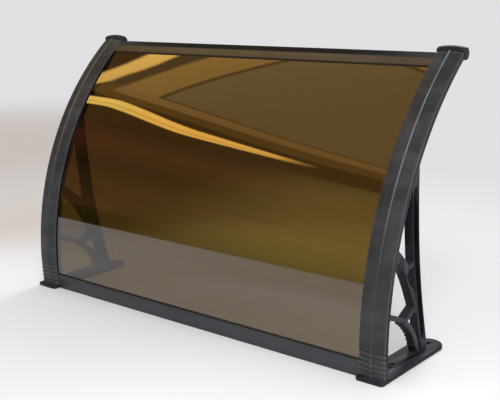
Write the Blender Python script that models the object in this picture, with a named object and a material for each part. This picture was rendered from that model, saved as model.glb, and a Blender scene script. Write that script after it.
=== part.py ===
"""Door canopy sample: a curved clear sheet held between two plastic wall brackets.

It stands on its two wall plates, so the wall is the plane z = 0 and the roof rises from it
in an arc. X runs along the width, -Y is the weather side and +Z is away from the wall.
Inside a section, depth is measured inwards from the outer edge of the cover strips and
reach is measured along that edge, from the wall.
"""
from math import asin, ceil, cos, pi, radians, sin

import bmesh
import bpy
from mathutils import Vector
from mathutils.geometry import delaunay_2d_cdt

# Whole canopy
CANOPY_WIDTH = 1.000
ARC_RADIUS = 0.672
ARC_LEAN = radians(-5.15)
ARM_REACH = 0.669
ARC_SEGMENTS = 44

# Clearances
FIT_GAP = 0.0003
EDGE_GAP = 0.0005

# Clamping stack, from the outside inwards
COVER_THICKNESS = 0.0025
SEAL_THICKNESS = 0.0008
SHEET_THICKNESS = 0.0030
FLANGE_THICKNESS = 0.0032

# Cover strip
COVER_WIDTH = 0.058
COVER_RISE = 0.0034
COVER_CHAMFER = 0.0006
RIDGE_WIDTH = 0.0072
RIDGE_HEIGHT = 0.0013
GROOVE_COUNT = 5
GROOVE_PITCH = 0.0104
GROOVE_WIDTH = 0.0042
GROOVE_DEPTH = 0.0011
GROOVE_NOTCH = 0.0018
GROOVE_START = 0.0075

# Seal strips
SEAL_WIDTH = 0.009

# Arm of a bracket
CENTRE_RIB_WIDTH = 0.007
FLANGE_MARGIN = 0.003
SIDE_WALL_WIDTH = 0.005
SIDE_WALL_INSET = 0.0005
ARM_DEPTH = 0.034
ARM_TIP_DEPTH = 0.0215
ARM_TAPER = 0.110
WEB_WIDTH = 0.0190

# Lattice of a bracket, as points and widths in the (y, z) plane
LATTICE_WIDTH = 0.0184
BRACE_WIDTH = 0.024
BRACE_LINE = ((0.182, 0.003), (0.160, 0.100), (0.128, 0.180), (0.124, 0.418))
POCKET_RIM = 0.0030
POCKET_SPAN = (0.10, 0.90)
RIB_WIDTH = 0.021
RIB_LINE = ((0.020, 0.268), (0.056, 0.238), (0.084, 0.214), (0.1065, 0.1905))
ARCH_WIDTH = 0.010
ARCH_LINE = ((0.012, 0.121), (0.098, 0.106), (0.146, 0.068), (0.158, 0.003))
TOOTH_COUNT = 7
TOOTH_HEIGHT = 0.0032
TOOTH_SPAN = (0.40, 0.90)
SPINE_LINE = ((0.092, 0.200), (0.112, 0.172), (0.129, 0.140), (0.148, 0.096))
SPINE_WIDTH = 0.012
SPINE_RIM = 0.0035
SPINE_WIDENING = (0.38, 0.62)
BRIDGE_LINE = ((0.094, 0.201), (0.106, 0.196), (0.120, 0.196), (0.134, 0.205))
BRIDGE_WIDTH = 0.009
STRUT_LINE = ((0.152, 0.116), (0.138, 0.107), (0.122, 0.098), (0.106, 0.090))
STRUT_WIDTH = 0.010
PANEL_THICKNESS = 0.005
RING_CENTRES = ((0.1240, 0.1730), (0.1280, 0.1594))
RING_RADII = (0.0090, 0.0075)
RING_WALL = 0.0025
RING_PROUD = 0.0008

# Wall plate
PLATE_FRONT = -0.015
PLATE_BACK = 0.240
PLATE_THICKNESS = 0.008
PLATE_OVERHANG = 0.0025
PLATE_CHAMFER = 0.0014
PLATE_CORNER = 0.006
WALL_HOLE_RADIUS = 0.0036
WALL_SINK_RADIUS = 0.0066
WALL_HOLES = (0.070, 0.213)
BOSS_RADIUS = 0.0105
BOSS_HEIGHT = 0.0020

# End cap of an arm
CAP_RADIUS = 0.0122
CAP_FORWARD = 0.0052
CAP_DEPTH = 0.0078
CAP_CROWN = 0.0026
CAP_OVERHANG = 0.001
SPIGOT_LENGTH = 0.014
SPIGOT_WIDTH = 0.011
SPIGOT_HEIGHT = 0.007
SPIGOT_DEPTH = 0.0145

# Wall and front profiles
PROFILE_WALL = 0.0020
WALL_PROFILE_REACH = 0.0355
WALL_PROFILE_LIFT = 0.0005
INNER_LEG = 0.022
FRONT_PROFILE_START = 0.0372
FRONT_LEG = 0.024
FRONT_WEB = 0.0026
LIP_DEPTH = 0.012
LIP_REACH = 0.015
GASKET_WIDTH = 0.0026

# Lugs that carry the profiles
LUG_LENGTH = 0.018
LUG_WIDTH = 0.014
LUG_THICKNESS = 0.004
LUG_OVERLAP = 0.007

# Screws
SCREW_RADIUS = 0.0020
SCREW_HEAD_RADIUS = 0.0040
SCREW_HEAD_HEIGHT = 0.0026
COVER_SCREWS = 4
COVER_SCREW_START = 0.085
COVER_SCREW_END = 0.590
COVER_SCREW_OFFSET = 0.0155
COVER_BOSS_RADIUS = 0.0045

# Values that follow from the ones above
SIDE_X = CANOPY_WIDTH / 2
ARM_X = SIDE_X - COVER_WIDTH / 2
INNER_X = SIDE_X - COVER_WIDTH
COVER_UNDER = COVER_THICKNESS
SEAL_TOP = COVER_UNDER + FIT_GAP
SHEET_TOP = SEAL_TOP + SEAL_THICKNESS + FIT_GAP
SHEET_UNDER = SHEET_TOP + SHEET_THICKNESS
LOWER_SEAL_TOP = SHEET_UNDER + FIT_GAP
FLANGE_TOP = LOWER_SEAL_TOP + SEAL_THICKNESS + FIT_GAP
FLANGE_UNDER = FLANGE_TOP + FLANGE_THICKNESS
PROFILE_TOP = SHEET_TOP - FIT_GAP - PROFILE_WALL
PROFILE_UNDER = SHEET_UNDER + FIT_GAP + PROFILE_WALL
LUG_TOP = PROFILE_UNDER + FIT_GAP
SCREW_HOLE = SCREW_RADIUS + FIT_GAP
PLATE_INNER = INNER_X
PLATE_OUTER = SIDE_X + PLATE_OVERHANG
PLATE_X = (PLATE_INNER + PLATE_OUTER) / 2
PLATE_HALF = (PLATE_OUTER - PLATE_INNER) / 2
PROFILE_END = INNER_X - FIT_GAP
SHEET_EDGE = ARM_X - CENTRE_RIB_WIDTH / 2 - EDGE_GAP
ARC_Y = ARC_RADIUS * cos(ARC_LEAN)
ARC_Z = -ARC_RADIUS * sin(ARC_LEAN)
TINY = 1e-7


def arc_point(depth, reach):
    """A (y, z) point at a depth inside the roof's arc and a reach along it."""
    angle = ARC_LEAN + reach / ARC_RADIUS
    radius = ARC_RADIUS - depth
    return ARC_Y - radius * cos(angle), ARC_Z + radius * sin(angle)


def level_point(depth, height):
    """A (y, z) point at a depth inside the arc, where the arc passes a height."""
    radius = ARC_RADIUS - depth
    angle = asin((height - ARC_Z) / radius)
    return ARC_Y - radius * cos(angle), height


def reach_at(height):
    return ARC_RADIUS * (asin((height - ARC_Z) / ARC_RADIUS) - ARC_LEAN)


def bezier(line, count):
    a, b, c, d = [Vector(p) for p in line]
    out = []
    for i in range(count + 1):
        t = i / count
        u = 1 - t
        out.append(a * u ** 3 + b * 3 * u * u * t + c * 3 * u * t * t + d * t ** 3)
    return out


def across(line, index):
    """The unit vector to the left of a line of points."""
    before = line[max(index - 1, 0)]
    after = line[min(index + 1, len(line) - 1)]
    along = (after - before).normalized()
    return Vector((-along.y, along.x))


def band(line, left, right):
    """A closed outline round a line, from its width on each side at every point."""
    first = [p + across(line, i) * left[i] for i, p in enumerate(line)]
    second = [p - across(line, i) * right[i] for i, p in enumerate(line)]
    return [tuple(p) for p in first] + [tuple(p) for p in reversed(second)]


def even_band(line, width):
    half = [width / 2] * len(line)
    return band(line, half, half)


def circle(centre, radius, count=28):
    return [
        (centre[0] + radius * cos(2 * pi * i / count), centre[1] + radius * sin(2 * pi * i / count))
        for i in range(count)
    ]


def turned_left(loop):
    """The loop in counter-clockwise order."""
    area = 0.0
    for (x0, y0), (x1, y1) in zip(loop, loop[1:] + loop[:1]):
        area += x0 * y1 - x1 * y0
    return loop if area > 0 else loop[::-1]


def material(name, colour, roughness, metallic=0.0, alpha=1.0):
    made = bpy.data.materials.new(name)
    made.use_nodes = True
    shader = made.node_tree.nodes["Principled BSDF"]
    shader.inputs["Base Color"].default_value = (*colour, 1.0)
    shader.inputs["Roughness"].default_value = roughness
    shader.inputs["Metallic"].default_value = metallic
    shader.inputs["Alpha"].default_value = alpha
    made.diffuse_color = (*colour, alpha)
    return made


def make_object(name, bm, slot=None):
    bmesh.ops.remove_doubles(bm, verts=bm.verts, dist=TINY)
    bmesh.ops.recalc_face_normals(bm, faces=bm.faces)
    mesh = bpy.data.meshes.new(name)
    bm.to_mesh(mesh)
    bm.free()
    if slot is not None:
        mesh.materials.append(slot)
    made = bpy.data.objects.new(name, mesh)
    bpy.context.scene.collection.objects.link(made)
    return made


def loft(name, rings, slot=None):
    """A closed solid through rings of points that all have the same number of points."""
    bm = bmesh.new()
    loops = [[bm.verts.new(p) for p in ring] for ring in rings]
    for here, there in zip(loops, loops[1:]):
        for i in range(len(here)):
            j = (i + 1) % len(here)
            bm.faces.new((here[i], here[j], there[j], there[i]))
    bm.faces.new(loops[0][::-1])
    bm.faces.new(loops[-1])
    return make_object(name, bm, slot)


def region(name, solids, holes, low, high, slot=None):
    """The union of (y, z) outlines without the holes, as a plate from x = low to x = high."""
    points = []
    faces = []
    for loop in [turned_left(s) for s in solids] + [turned_left(h) for h in holes]:
        faces.append(list(range(len(points), len(points) + len(loop))))
        points.extend(Vector(p) for p in loop)
    spots, _, cells, _, _, sources = delaunay_2d_cdt(points, [], faces, 1, TINY)
    kept = [c for c, s in zip(cells, sources) if s and max(s) < len(solids)]
    bm = bmesh.new()
    used = sorted({i for cell in kept for i in cell})
    lower = {i: bm.verts.new((low, spots[i].x, spots[i].y)) for i in used}
    upper = {i: bm.verts.new((high, spots[i].x, spots[i].y)) for i in used}
    sides = {}
    for cell in kept:
        bm.faces.new([upper[i] for i in cell])
        bm.faces.new([lower[i] for i in reversed(cell)])
        for i, j in zip(cell, cell[1:] + cell[:1]):
            key = (min(i, j), max(i, j))
            sides[key] = sides.get(key, []) + [(i, j)]
    for pairs in sides.values():
        if len(pairs) == 1:
            i, j = pairs[0]
            bm.faces.new((lower[i], lower[j], upper[j], upper[i]))
    return make_object(name, bm, slot)


def cylinder(name, start, end, radius, count=24):
    """A round bar between two points in space."""
    start = Vector(start)
    axis = (Vector(end) - start).normalized()
    side = axis.orthogonal().normalized()
    up = axis.cross(side)
    ring = [
        side * (radius * cos(2 * pi * i / count)) + up * (radius * sin(2 * pi * i / count))
        for i in range(count)
    ]
    return loft(name, [[start + p for p in ring], [Vector(end) + p for p in ring]])


def combine(target, other, operation):
    """Joins or cuts target with other, which is used up."""
    step = target.modifiers.new("step", "BOOLEAN")
    step.operation = operation
    step.solver = "EXACT"
    step.object = other
    bpy.context.view_layer.update()
    graph = bpy.context.evaluated_depsgraph_get()
    mesh = bpy.data.meshes.new_from_object(target.evaluated_get(graph))
    target.modifiers.clear()
    old = target.data
    target.data = mesh
    bpy.data.meshes.remove(old)
    bpy.data.objects.remove(other)


def join(target, others):
    for other in others:
        combine(target, other, "UNION")


def cut(target, others):
    for other in others:
        combine(target, other, "DIFFERENCE")


def mirrored(source, name):
    """The same piece on the other side, with a mesh of its own."""
    bm = bmesh.new()
    bm.from_mesh(source.data)
    for v in bm.verts:
        v.co.x = -v.co.x
    bmesh.ops.reverse_faces(bm, faces=bm.faces)
    mesh = bpy.data.meshes.new(name)
    bm.to_mesh(mesh)
    bm.free()
    for slot in source.data.materials:
        mesh.materials.append(slot)
    made = bpy.data.objects.new(name, mesh)
    bpy.context.scene.collection.objects.link(made)
    return made


def arc_sweep(name, section, start, end, slot=None, floor=None, centre=ARM_X):
    """A section of (x, depth) points along the arc, where a depth may be a function of reach.

    A floor height levels the first end.
    """
    rings = []
    count = max(2, ceil(ARC_SEGMENTS * (end - start) / ARM_REACH))
    for i in range(count + 1):
        reach = start + (end - start) * i / count
        ring = []
        for x, depth in section:
            here = depth(reach) if callable(depth) else depth
            level = i == 0 and floor is not None
            y, z = level_point(here, floor) if level else arc_point(here, reach)
            ring.append((centre + x, y, z))
        rings.append(ring)
    return loft(name, rings, slot)


def bar(name, outline, half_length, slot):
    """A straight bar along X, from (depth, reach) corners that follow the arc."""
    loop = []
    for (d0, r0), (d1, r1) in zip(outline, outline[1:] + outline[:1]):
        parts = max(1, ceil(abs(r1 - r0) / 0.008))
        for i in range(parts):
            t = i / parts
            loop.append(arc_point(d0 + (d1 - d0) * t, r0 + (r1 - r0) * t))
    loop = [(y, max(z, WALL_PROFILE_LIFT)) for y, z in loop]
    return loft(name, [[(x, y, z) for y, z in loop] for x in (-half_length, half_length)], slot)


def arc_axis(x, reach):
    """A function that gives the point at any depth on one line across the roof."""
    return lambda depth: (x, *arc_point(depth, reach))


def screw(name, at, under, tip, slot):
    """A plain pan-head screw whose head sits under a depth and whose tip ends at another."""
    head_top = under + FIT_GAP
    start = Vector(at(head_top + SCREW_HEAD_HEIGHT))
    axis = (Vector(at(tip)) - start).normalized()
    side = Vector((1.0, 0.0, 0.0))
    up = axis.cross(side)
    shank = (Vector(at(tip)) - start).length
    steps = (
        (0.0, SCREW_HEAD_RADIUS * 0.7),
        (SCREW_HEAD_HEIGHT * 0.45, SCREW_HEAD_RADIUS),
        (SCREW_HEAD_HEIGHT, SCREW_HEAD_RADIUS),
        (SCREW_HEAD_HEIGHT, SCREW_RADIUS),
        (shank - SCREW_RADIUS * 0.6, SCREW_RADIUS),
        (shank, SCREW_RADIUS * 0.5),
    )
    rings = []
    for along, radius in steps:
        centre = start + axis * along
        rings.append([
            centre + side * (radius * cos(2 * pi * i / 20)) + up * (radius * sin(2 * pi * i / 20))
            for i in range(20)
        ])
    return loft(name, rings, slot)


def smooth(value, low, high):
    """A soft step from 0 at low to 1 at high."""
    share = min(max((value - low) / (high - low), 0.0), 1.0)
    return share * share * (3 - 2 * share)


def arm_depth(reach):
    """The depth of the arm, which narrows towards its tip."""
    share = smooth(reach, ARM_REACH - ARM_TAPER, ARM_REACH)
    return ARM_DEPTH + (ARM_TIP_DEPTH - ARM_DEPTH) * share


def arch_outline():
    """The lower brace, with rounded teeth along its underside."""
    count = 84
    line = bezier(ARCH_LINE, count)
    right = []
    for i in range(count + 1):
        t = (i / count - TOOTH_SPAN[0]) / (TOOTH_SPAN[1] - TOOTH_SPAN[0])
        tooth = abs(sin(pi * t * TOOTH_COUNT)) if 0 < t < 1 else 0.0
        right.append(ARCH_WIDTH / 2 + TOOTH_HEIGHT * tooth)
    return band(line, [ARCH_WIDTH / 2] * (count + 1), right)


def spine_outline(line):
    """The spine, which is a thin wall beside the rings and widens below them."""
    rim = SPINE_RIM - SPINE_WIDTH / 2
    growth = SPINE_WIDTH - SPINE_RIM
    last = len(line) - 1
    left = [rim + growth * smooth(i / last, *SPINE_WIDENING) for i in range(last + 1)]
    return band(line, left, [SPINE_WIDTH / 2] * len(line))


def make_lattice():
    middle = (FLANGE_UNDER + ARM_DEPTH) / 2
    outside = [arc_point(-0.05, ARM_REACH * i / 30) for i in range(31)]
    outside += [arc_point(middle, ARM_REACH * (30 - i) / 30) for i in range(31)]
    brace = bezier(BRACE_LINE, 40)
    spine = bezier(SPINE_LINE, 20)
    aside = (SPINE_WIDTH - SPINE_RIM) / 2
    web = [tuple(p - across(spine, i) * aside) for i, p in enumerate(spine)]
    lowest = spine[-1].y
    web += [tuple(p) for p in reversed(brace) if lowest < p.y < spine[0].y][::-1]
    solids = [
        even_band(brace, BRACE_WIDTH),
        even_band(bezier(RIB_LINE, 16), RIB_WIDTH),
        spine_outline(spine),
        even_band(bezier(BRIDGE_LINE, 12), BRIDGE_WIDTH),
        even_band(bezier(STRUT_LINE, 6), STRUT_WIDTH),
        arch_outline(),
    ]
    first, last = [round(share * 40) for share in POCKET_SPAN]
    inside = [BRACE_WIDTH / 2 - POCKET_RIM] * (last + 1 - first)
    inside[0] = inside[-1] = inside[0] * 0.55
    pocket = band(brace[first:last + 1], inside, inside)
    half = LATTICE_WIDTH / 2
    lattice = region("lattice", solids, [outside, pocket], ARM_X - half, ARM_X + half)
    bores = [circle(c, r - RING_WALL) for c, r in zip(RING_CENTRES, RING_RADII)]
    half = PANEL_THICKNESS / 2
    floor = even_band(brace[first - 1:last + 2], BRACE_WIDTH - POCKET_RIM)
    join(lattice, [region("panel", [web, floor], [outside] + bores, ARM_X - half, ARM_X + half)])
    rings = [circle(c, r) for c, r in zip(RING_CENTRES, RING_RADII)]
    half += RING_PROUD
    join(lattice, [region("rings", rings, bores, ARM_X - half, ARM_X + half)])
    return lattice


def make_plate():
    """The wall plate, with a round end at the back and small corners in front."""
    def outline(inset):
        half = PLATE_HALF - inset
        corner = PLATE_CORNER - inset
        back = PLATE_BACK - PLATE_HALF
        front = PLATE_FRONT + inset
        loop = []
        for cx, cy, first in ((-1, 1, 180), (1, 1, 270)):
            for i in range(7):
                a = radians(first + 15 * i)
                x = PLATE_X + cx * (half - corner) + corner * cos(a)
                loop.append((x, front + cy * corner + corner * sin(a)))
        for i in range(25):
            a = pi * i / 24
            loop.append((PLATE_X + half * cos(a), back + half * sin(a)))
        return loop

    levels = ((PLATE_CHAMFER / 2, 0.0), (0.0, PLATE_CHAMFER / 2))
    levels += ((0.0, PLATE_THICKNESS - PLATE_CHAMFER), (PLATE_CHAMFER, PLATE_THICKNESS))
    plate = loft("plate", [[(x, y, z) for x, y in outline(i)] for i, z in levels])
    top = PLATE_THICKNESS + BOSS_HEIGHT
    base = PLATE_THICKNESS / 2
    spot = (ARM_X, WALL_HOLES[0])
    join(plate, [cylinder("boss", (*spot, base), (*spot, top), BOSS_RADIUS, 32)])
    return plate


def wall_hole_cutters():
    cutters = []
    for y, top in zip(WALL_HOLES, (PLATE_THICKNESS + BOSS_HEIGHT, PLATE_THICKNESS)):
        rings = []
        slope = WALL_SINK_RADIUS - WALL_HOLE_RADIUS
        for z, radius in (
            (-0.002, WALL_HOLE_RADIUS),
            (top - slope, WALL_HOLE_RADIUS),
            (top, WALL_SINK_RADIUS),
            (top + 0.002, WALL_SINK_RADIUS),
        ):
            rings.append([(x, v, z) for x, v in circle((ARM_X, y), radius)])
        cutters.append(loft("wall hole", rings))
    return cutters


def lug(reach):
    """A flat tab under the end of a profile."""
    inner = INNER_X - LUG_LENGTH - ARM_X
    outer = INNER_X + LUG_OVERLAP - ARM_X
    deep = LUG_TOP + LUG_THICKNESS
    section = ((inner, LUG_TOP), (outer, LUG_TOP), (outer, deep), (inner, deep))
    return arc_sweep("lug", section, reach - LUG_WIDTH / 2, reach + LUG_WIDTH / 2)


def spigot_section(clearance):
    half = SPIGOT_WIDTH / 2 + clearance
    top = SPIGOT_DEPTH - SPIGOT_HEIGHT / 2 - clearance
    under = SPIGOT_DEPTH + SPIGOT_HEIGHT / 2 + clearance
    return ((-half, top), (half, top), (half, under), (-half, under))


def make_bracket(screw_reaches, lug_reaches, slot):
    half = COVER_WIDTH / 2
    rib = CENTRE_RIB_WIDTH / 2
    rib_top = COVER_UNDER - COVER_RISE + FIT_GAP
    wall_out = half - SIDE_WALL_INSET
    wall_in = wall_out - SIDE_WALL_WIDTH
    wall_top = COVER_UNDER + FIT_GAP
    inner = FLANGE_MARGIN - half
    web = WEB_WIDTH / 2
    section = (
        (inner, FLANGE_TOP), (-rib, FLANGE_TOP), (-rib, rib_top), (rib, rib_top),
        (rib, FLANGE_TOP), (wall_in, FLANGE_TOP), (wall_in, wall_top), (wall_out, wall_top),
        (wall_out, FLANGE_UNDER), (web, FLANGE_UNDER), (web, arm_depth), (-web, arm_depth),
        (-web, FLANGE_UNDER), (inner, FLANGE_UNDER),
    )
    foot = PLATE_THICKNESS / 2
    bracket = arc_sweep("bracket_right", section, 0.0, ARM_REACH, None, foot)
    join(bracket, [make_lattice(), make_plate()])
    join(bracket, [lug(r) for r in lug_reaches])
    cut(bracket, wall_hole_cutters())
    deepest = ARM_REACH - SPIGOT_LENGTH - FIT_GAP
    socket = arc_sweep("socket", spigot_section(FIT_GAP), deepest, ARM_REACH + 0.01)
    cut(bracket, [socket])
    holes = []
    for reach in screw_reaches:
        at = arc_axis(ARM_X + COVER_SCREW_OFFSET, reach)
        holes.append(cylinder("hole", at(FLANGE_TOP - 0.001), at(FLANGE_UNDER + 0.004), SCREW_HOLE))
    for reach in lug_reaches:
        at = arc_axis(INNER_X - LUG_LENGTH / 2, reach)
        holes.append(cylinder("hole", at(LUG_TOP - 0.002), at(LUG_TOP + LUG_THICKNESS + 0.002), SCREW_HOLE))
    cut(bracket, holes)
    bracket.data.materials.clear()
    bracket.data.materials.append(slot)
    return bracket


def cover_section(share):
    """The cover's section, where share is 0 between grooves and 1 at the bottom of one."""
    drop = GROOVE_DEPTH * share
    edge = COVER_WIDTH / 2 - GROOVE_NOTCH * share
    half = COVER_WIDTH / 2
    side = edge - COVER_CHAMFER
    ridge = RIDGE_WIDTH / 2
    crown = ridge * 0.62
    peak = COVER_RISE + RIDGE_HEIGHT
    outer = (
        (-edge, drop + COVER_CHAMFER), (-side, drop), (-ridge, drop - COVER_RISE),
        (-ridge * 0.92, drop - COVER_RISE - RIDGE_HEIGHT * 0.7), (-crown, drop - peak),
        (crown, drop - peak), (ridge * 0.92, drop - COVER_RISE - RIDGE_HEIGHT * 0.7),
        (ridge, drop - COVER_RISE), (side, drop), (edge, drop + COVER_CHAMFER),
    )
    land = half - SIDE_WALL_WIDTH - SIDE_WALL_INSET
    flat = CENTRE_RIB_WIDTH / 2 + 0.001
    crest = COVER_UNDER - COVER_RISE
    under = ((edge, COVER_UNDER), (land, COVER_UNDER), (flat, crest), (-flat, crest))
    under += ((-land, COVER_UNDER), (-edge, COVER_UNDER))
    return outer + under


def make_cover(screw_reaches, slot):
    start = PLATE_THICKNESS + FIT_GAP
    first = reach_at(start)
    stations = [(first, 0.0)]
    for i in range(GROOVE_COUNT):
        left = first + GROOVE_START + GROOVE_PITCH * i
        for along, share in ((0.0, 0.0), (0.25, 1.0), (0.75, 1.0), (1.0, 0.0)):
            stations.append((left + GROOVE_WIDTH * along, share))
    last = stations[-1][0]
    count = ARC_SEGMENTS - 3
    for i in range(1, count + 1):
        stations.append((last + (ARM_REACH - last) * i / count, 0.0))
    rings = []
    for index, (reach, share) in enumerate(stations):
        ring = []
        for x, depth in cover_section(share):
            y, z = level_point(depth, start) if index == 0 else arc_point(depth, reach)
            ring.append((ARM_X + x, y, z))
        rings.append(ring)
    cover = loft("cover_right", rings)
    bosses = []
    pilots = []
    for reach in screw_reaches:
        at = arc_axis(ARM_X + COVER_SCREW_OFFSET, reach)
        bosses.append(cylinder("boss", at(0.0), at(FLANGE_TOP - FIT_GAP), COVER_BOSS_RADIUS))
        pilots.append(cylinder("pilot", at(COVER_UNDER / 2), at(FLANGE_TOP + 0.002), SCREW_HOLE))
    join(cover, bosses)
    cut(cover, pilots)
    cover.data.materials.clear()
    cover.data.materials.append(slot)
    return cover


def make_cap(slot):
    """The bull nose at the end of an arm, with a spigot that plugs into it."""
    start = ARM_REACH + FIT_GAP
    first = -asin(CAP_FORWARD / CAP_RADIUS)
    last = pi - first
    ends = (INNER_X, SIDE_X + CAP_OVERHANG)
    turns = 22
    slices = 10
    rings = []
    for k in range(slices + 1):
        share = k / slices
        x = ends[0] + (ends[1] - ends[0]) * share
        swell = 1 + CAP_CROWN / CAP_RADIUS * (1 - (2 * share - 1) ** 2)
        ring = []
        for i in range(turns + 1):
            a = first + (last - first) * i / turns
            depth = CAP_DEPTH + CAP_RADIUS * swell * cos(a)
            reach = start + (CAP_FORWARD + CAP_RADIUS * sin(a)) * swell
            ring.append((x, *arc_point(depth, max(reach, start))))
        rings.append(ring)
    cap = loft("cap_right", rings)
    plug = arc_sweep("plug", spigot_section(0.0), ARM_REACH - SPIGOT_LENGTH, ARM_REACH + CAP_FORWARD)
    join(cap, [plug])
    cap.data.materials.clear()
    cap.data.materials.append(slot)
    return cap


def make_profiles(screw_holes, slots):
    slot_under = SHEET_UNDER + FIT_GAP
    slot_top = SHEET_TOP - FIT_GAP
    floor = PLATE_THICKNESS
    wall = bar("wall_profile", [
        (PROFILE_TOP, 0.0), (PROFILE_TOP, WALL_PROFILE_REACH), (slot_top, WALL_PROFILE_REACH),
        (slot_top, floor), (slot_under, floor), (slot_under, INNER_LEG),
        (PROFILE_UNDER, INNER_LEG), (PROFILE_UNDER, 0.0),
    ], PROFILE_END, slots[0])
    end = ARM_REACH
    start = end - FRONT_PROFILE_START + PROFILE_WALL
    inner = end - FRONT_LEG
    web = end - FRONT_WEB - 0.004
    lip = PROFILE_UNDER + LIP_DEPTH
    front = bar("front_profile", [
        (PROFILE_TOP, start), (PROFILE_TOP, end - 0.002), (PROFILE_TOP + 0.0012, end + 0.0012),
        (PROFILE_TOP + 0.0042, end + 0.0028), (lip - 0.004, end + 0.0028), (lip - 0.0012, end + 0.0014),
        (lip, end - 0.002), (lip, end - LIP_REACH), (lip - PROFILE_WALL, end - LIP_REACH),
        (lip - PROFILE_WALL, end - 0.002), (lip - PROFILE_WALL - 0.001, end), (PROFILE_UNDER, end),
        (PROFILE_UNDER, inner), (slot_under, inner), (slot_under, web), (slot_top, web),
        (slot_top, start),
    ], PROFILE_END, slots[1])
    for profile, hole_reach in zip((wall, front), screw_holes):
        cutters = []
        for side in (-1, 1):
            at = arc_axis(side * (INNER_X - LUG_LENGTH / 2), hole_reach)
            cutters.append(cylinder("hole", at(slot_under - 0.0005), at(LUG_TOP + 0.001), SCREW_HOLE))
        cut(profile, cutters)
    return web


def make_strips(web, slots):
    """The sheet, its side seals and the two gaskets."""
    sheet_slot, gasket_slot, seal_slot = slots
    lower_end = reach_at(PLATE_THICKNESS + EDGE_GAP)
    edge = SHEET_EDGE
    section = ((-edge, SHEET_TOP), (edge, SHEET_TOP), (edge, SHEET_UNDER), (-edge, SHEET_UNDER))
    arc_sweep("roof_sheet", section, lower_end, web - EDGE_GAP, sheet_slot, None, 0.0)
    gasket_top = PROFILE_TOP + FIT_GAP
    gasket_under = SHEET_TOP - FIT_GAP
    for name, start in (
        ("wall_gasket", WALL_PROFILE_REACH + FIT_GAP),
        ("front_gasket", ARM_REACH - FRONT_PROFILE_START + PROFILE_WALL - FIT_GAP - GASKET_WIDTH),
    ):
        bar(name, [
            (gasket_top + 0.0004, start), (gasket_top, start + GASKET_WIDTH / 2),
            (gasket_top + 0.0004, start + GASKET_WIDTH), (gasket_under, start + GASKET_WIDTH),
            (gasket_under, start),
        ], PROFILE_END, gasket_slot)
    inner = INNER_X - ARM_X
    low = WALL_PROFILE_REACH + GASKET_WIDTH
    high = ARM_REACH - FRONT_PROFILE_START - GASKET_WIDTH
    for name, top, x0, begin, finish in (
        ("seal_upper_right", SEAL_TOP, inner + 0.001, reach_at(PLATE_THICKNESS) + 0.002, ARM_REACH - 0.008),
        ("seal_lower_right", LOWER_SEAL_TOP, inner + FLANGE_MARGIN + 0.002, low, high),
    ):
        x1 = x0 + SEAL_WIDTH
        under = top + SEAL_THICKNESS
        strip = arc_sweep(name, ((x0, top), (x1, top), (x1, under), (x0, under)), begin, finish, seal_slot)
        mirrored(strip, name.replace("right", "left"))


def centre_over_origin():
    """Moves every mesh along Y, so that the whole canopy is centred over the origin."""
    meshes = [o.data for o in bpy.context.scene.objects]
    spread = [v.co.y for mesh in meshes for v in mesh.vertices]
    middle = (min(spread) + max(spread)) / 2
    for mesh in meshes:
        for v in mesh.vertices:
            v.co.y -= middle


def main():
    for old in list(bpy.data.objects):
        bpy.data.objects.remove(old)

    bracket_slot = material("bracket_plastic", (0.016, 0.017, 0.019), 0.45)
    cover_slot = material("cover_plastic", (0.045, 0.045, 0.048), 0.42)
    cap_slot = material("cap_plastic", (0.035, 0.035, 0.038), 0.42)
    sheet_slot = material("bronze_sheet", (0.20, 0.11, 0.035), 0.06, 0.0, 0.55)
    wall_slot = material("wall_aluminium", (0.055, 0.058, 0.064), 0.40, 0.6)
    front_slot = material("front_aluminium", (0.085, 0.065, 0.045), 0.35, 0.6)
    gasket_slot = material("gasket_rubber", (0.010, 0.010, 0.011), 0.75)
    seal_slot = material("seal_rubber", (0.012, 0.012, 0.013), 0.80)
    screw_slot = material("screw_steel", (0.50, 0.50, 0.52), 0.35, 1.0)
    fixing_slot = material("fixing_steel", (0.45, 0.45, 0.47), 0.38, 1.0)

    step = (COVER_SCREW_END - COVER_SCREW_START) / (COVER_SCREWS - 1)
    screw_reaches = [COVER_SCREW_START + step * i for i in range(COVER_SCREWS)]
    lug_reaches = [INNER_LEG - LUG_WIDTH / 2 + 0.003, ARM_REACH - FRONT_LEG + LUG_WIDTH / 2 - 0.003]

    bracket = make_bracket(screw_reaches, lug_reaches, bracket_slot)
    mirrored(bracket, "bracket_left")
    cover = make_cover(screw_reaches, cover_slot)
    mirrored(cover, "cover_left")
    mirrored(make_cap(cap_slot), "cap_left")
    web = make_profiles(lug_reaches, (wall_slot, front_slot))
    make_strips(web, (sheet_slot, gasket_slot, seal_slot))

    for index, reach in enumerate(screw_reaches, 1):
        at = arc_axis(ARM_X + COVER_SCREW_OFFSET, reach)
        made = screw(f"cover_screw_right_{index}", at, FLANGE_UNDER, COVER_UNDER, screw_slot)
        mirrored(made, f"cover_screw_left_{index}")
    for place, reach in zip(("wall", "front"), lug_reaches):
        at = arc_axis(INNER_X - LUG_LENGTH / 2, reach)
        tip = SHEET_UNDER + FIT_GAP * 2
        made = screw(f"{place}_screw_right", at, LUG_TOP + LUG_THICKNESS, tip, fixing_slot)
        mirrored(made, f"{place}_screw_left")
    centre_over_origin()


main()
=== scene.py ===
# %% [markdown]
# # A door canopy with a clear bronze roof
#
# The canopy is a curved sheet held between two moulded brackets. The solid model of every piece
# is loaded first and stays where it is. This file gives each piece its finished surface: rounded
# edges, fine strips that follow the roof's arc, screws, and materials made from nodes.

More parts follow.
